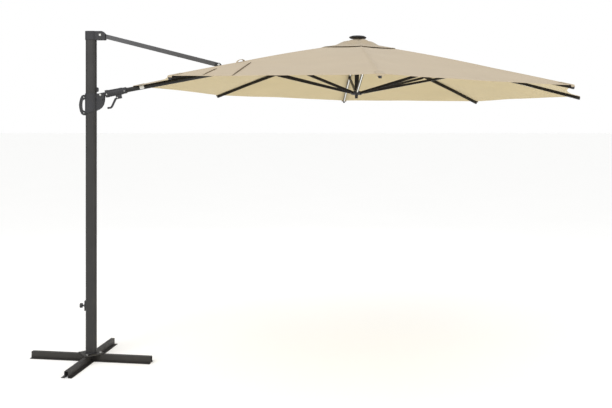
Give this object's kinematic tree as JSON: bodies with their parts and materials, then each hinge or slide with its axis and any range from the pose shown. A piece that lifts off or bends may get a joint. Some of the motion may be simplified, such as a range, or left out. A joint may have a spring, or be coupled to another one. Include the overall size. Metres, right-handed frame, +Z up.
{
  "type": "cantilever parasol",
  "caption": "Offset garden parasol: cross base, turning mast, sliding and tilting boom, folding ribs and stretchers, vented beige fabric canopy.",
  "frame": {"origin": "on the floor under the middle of the open parasol's box", "axes": "+X from the mast along the boom, +Y to the left of the boom, +Z up"},
  "size_m": [4.3248, 3.5, 2.578],
  "materials": {
    "steel_base": "satin",
    "zinc_steel": "satin",
    "nylon": "matte",
    "anthracite": "satin",
    "strut_grey": "satin",
    "black_plastic": "matte",
    "rib_brown": "satin",
    "solar_black": "gloss",
    "canopy_beige": "matte"
  },
  "bodies": {
    "base": {"base_beam_long": "steel_base", "base_arm_front": "steel_base", "base_arm_back": "steel_base", "base_plate": "steel_base", "base_bolt_1": "zinc_steel", "base_bolt_2": "zinc_steel", "base_bolt_3": "zinc_steel", "base_bolt_4": "zinc_steel", "spigot_tube": "zinc_steel", "thrust_ring": "nylon"},
    "mast": {"mast_tube": "anthracite", "mast_head": "anthracite", "mast_bush_lower": "nylon", "mast_bush_upper": "nylon", "lock_boss": "black_plastic", "slider_stop": "black_plastic", "head_pin": "zinc_steel"},
    "lock_knob": {"lock_knob": "black_plastic"},
    "slider": {"slider_sleeve": "anthracite", "slider_liner": "nylon", "slider_handle": "black_plastic"},
    "strut": {"strut_bar": "strut_grey", "strut_top_eye": "black_plastic", "strut_end_eye": "black_plastic"},
    "boom_root": {"boom_knuckle": "black_plastic", "tilt_housing": "black_plastic", "lever_pin": "zinc_steel", "slider_pin": "zinc_steel", "pivot_bracket": "black_plastic", "strut_pin": "zinc_steel"},
    "tilt_lever": {"tilt_lever": "black_plastic"},
    "boom": {"boom_tube": "anthracite", "boom_end": "rib_brown", "rib_1": "rib_brown"},
    "crown": {"crown_hub": "black_plastic", "centre_post": "rib_brown", "solar_cap": "solar_black", "canopy_fabric": "canopy_beige", "vent_cap": "canopy_beige"},
    "runner": {"lower_hub": "black_plastic", "hub_knob": "black_plastic"},
    "rib_2": {"rib_2": "rib_brown"},
    "rib_3": {"rib_3": "rib_brown"},
    "rib_4": {"rib_4": "rib_brown"},
    "rib_5": {"rib_5": "rib_brown"},
    "rib_6": {"rib_6": "rib_brown"},
    "rib_7": {"rib_7": "rib_brown"},
    "rib_8": {"rib_8": "rib_brown"},
    "stretcher_1": {"stretcher_1": "rib_brown"},
    "stretcher_2": {"stretcher_2": "rib_brown"},
    "stretcher_3": {"stretcher_3": "rib_brown"},
    "stretcher_4": {"stretcher_4": "rib_brown"},
    "stretcher_5": {"stretcher_5": "rib_brown"},
    "stretcher_6": {"stretcher_6": "rib_brown"},
    "stretcher_7": {"stretcher_7": "rib_brown"},
    "stretcher_8": {"stretcher_8": "rib_brown"}
  },
  "joints": [
    {"name": "mast_turn", "type": "hinge", "parent": "base", "child": "mast", "pos_m": [-1.66915, 0, 0], "axis": [0, 0, 1], "continuous": true},
    {"name": "lock_knob_turn", "type": "hinge", "parent": "mast", "child": "lock_knob", "pos_m": [-1.73815, 0, 0.427], "axis": [1, 0, 0], "range_deg": [0, 360]},
    {"name": "canopy_fold", "type": "hinge", "parent": "mast", "child": "strut", "pos_m": [-1.59315, 0, 2.547], "axis": [0, 1, 0], "range_deg": [0, 73], "deforming": ["canopy_fabric", "vent_cap"]},
    {"name": "boom_fold", "type": "hinge", "parent": "strut", "child": "boom_root", "pos_m": [-0.66415, 0, 2.313], "axis": [0, 1, 0], "range_deg": [-146, 0]},
    {"name": "slider_fold", "type": "hinge", "parent": "boom_root", "child": "slider", "pos_m": [-1.59315, 0, 2.079], "axis": [0, 1, 0], "range_deg": [0, 73]},
    {"name": "boom_tilt", "type": "hinge", "parent": "boom_root", "child": "boom", "pos_m": [-1.59315, 0, 2.079], "axis": [0.9829, 0, 0.1844], "range_deg": [-15, 15]},
    {"name": "tilt_lever_squeeze", "type": "hinge", "parent": "boom_root", "child": "tilt_lever", "pos_m": [-1.462, 0, 2.05782], "axis": [0, 1, 0], "range_deg": [0, 20], "stiffness_Nm_per_rad": 1, "springref_deg": -14.32},
    {"name": "crown_fold", "type": "hinge", "parent": "boom", "child": "crown", "pos_m": [0.37886, 0, 2.44899], "axis": [0, 1, 0], "range_deg": [0, 73]},
    {"name": "rib_2_fold", "type": "hinge", "parent": "crown", "child": "rib_2", "pos_m": [0.39116, 0.0297, 2.4487], "axis": [-0.7069, -0.7071, 0.0167], "range_deg": [0, 73]},
    {"name": "stretcher_2_fold", "type": "hinge", "parent": "rib_2", "child": "stretcher_2", "pos_m": [-0.20079, 0.61766, 2.28622], "axis": [-0.7069, -0.7071, 0.0167], "range_deg": [-146, 0]},
    {"name": "rib_3_fold", "type": "hinge", "parent": "crown", "child": "rib_3", "pos_m": [0.42085, 0.042, 2.448], "axis": [-0.9997, 0, 0.0236], "range_deg": [0, 73]},
    {"name": "stretcher_3_fold", "type": "hinge", "parent": "rib_3", "child": "stretcher_3", "pos_m": [0.41669, 0.8735, 2.27167], "axis": [-0.9997, 0, 0.0236], "range_deg": [-146, 0]},
    {"name": "rib_4_fold", "type": "hinge", "parent": "crown", "child": "rib_4", "pos_m": [0.45054, 0.0297, 2.4473], "axis": [-0.7069, 0.7071, 0.0167], "range_deg": [0, 73]},
    {"name": "stretcher_4_fold", "type": "hinge", "parent": "rib_4", "child": "stretcher_4", "pos_m": [1.03418, 0.61766, 2.25712], "axis": [-0.7069, 0.7071, 0.0167], "range_deg": [-146, 0]},
    {"name": "rib_5_fold", "type": "hinge", "parent": "crown", "child": "rib_5", "pos_m": [0.46284, 0, 2.44701], "axis": [0, 1, 0], "range_deg": [0, 73]},
    {"name": "stretcher_5_fold", "type": "hinge", "parent": "rib_5", "child": "stretcher_5", "pos_m": [1.28995, 0, 2.25109], "axis": [0, 1, 0], "range_deg": [-146, 0]},
    {"name": "rib_6_fold", "type": "hinge", "parent": "crown", "child": "rib_6", "pos_m": [0.45054, -0.0297, 2.4473], "axis": [0.7069, 0.7071, -0.0167], "range_deg": [0, 73]},
    {"name": "stretcher_6_fold", "type": "hinge", "parent": "rib_6", "child": "stretcher_6", "pos_m": [1.03418, -0.61766, 2.25712], "axis": [0.7069, 0.7071, -0.0167], "range_deg": [-146, 0]},
    {"name": "rib_7_fold", "type": "hinge", "parent": "crown", "child": "rib_7", "pos_m": [0.42085, -0.042, 2.448], "axis": [0.9997, 0, -0.0236], "range_deg": [0, 73]},
    {"name": "stretcher_7_fold", "type": "hinge", "parent": "rib_7", "child": "stretcher_7", "pos_m": [0.41669, -0.8735, 2.27167], "axis": [0.9997, 0, -0.0236], "range_deg": [-146, 0]},
    {"name": "rib_8_fold", "type": "hinge", "parent": "crown", "child": "rib_8", "pos_m": [0.39116, -0.0297, 2.4487], "axis": [0.7069, -0.7071, -0.0167], "range_deg": [0, 73]},
    {"name": "stretcher_8_fold", "type": "hinge", "parent": "rib_8", "child": "stretcher_8", "pos_m": [-0.20079, -0.61766, 2.28622], "axis": [0.7069, -0.7071, -0.0167], "range_deg": [-146, 0]},
    {"name": "stretcher_1_fold", "type": "hinge", "parent": "boom", "child": "stretcher_1", "pos_m": [-0.45656, 0, 2.29225], "axis": [0, -1, 0], "range_deg": [-146, 0]},
    {"name": "runner_fold", "type": "hinge", "parent": "stretcher_1", "child": "runner", "pos_m": [0.37055, 0, 2.09632], "axis": [0, -1, 0], "range_deg": [0, 73]}
  ],
  "couplings": [
    {"joint": "boom_fold", "follows": "canopy_fold", "ratio": -2},
    {"joint": "slider_fold", "follows": "canopy_fold", "ratio": 1},
    {"joint": "crown_fold", "follows": "canopy_fold", "ratio": 1},
    {"joint": "stretcher_1_fold", "follows": "canopy_fold", "ratio": -2},
    {"joint": "runner_fold", "follows": "canopy_fold", "ratio": 1},
    {"joint": "rib_2_fold", "follows": "canopy_fold", "ratio": 1},
    {"joint": "stretcher_2_fold", "follows": "canopy_fold", "ratio": -2},
    {"joint": "rib_3_fold", "follows": "canopy_fold", "ratio": 1},
    {"joint": "stretcher_3_fold", "follows": "canopy_fold", "ratio": -2},
    {"joint": "rib_4_fold", "follows": "canopy_fold", "ratio": 1},
    {"joint": "stretcher_4_fold", "follows": "canopy_fold", "ratio": -2},
    {"joint": "rib_5_fold", "follows": "canopy_fold", "ratio": 1},
    {"joint": "stretcher_5_fold", "follows": "canopy_fold", "ratio": -2},
    {"joint": "rib_6_fold", "follows": "canopy_fold", "ratio": 1},
    {"joint": "stretcher_6_fold", "follows": "canopy_fold", "ratio": -2},
    {"joint": "rib_7_fold", "follows": "canopy_fold", "ratio": 1},
    {"joint": "stretcher_7_fold", "follows": "canopy_fold", "ratio": -2},
    {"joint": "rib_8_fold", "follows": "canopy_fold", "ratio": 1},
    {"joint": "stretcher_8_fold", "follows": "canopy_fold", "ratio": -2}
  ]
}
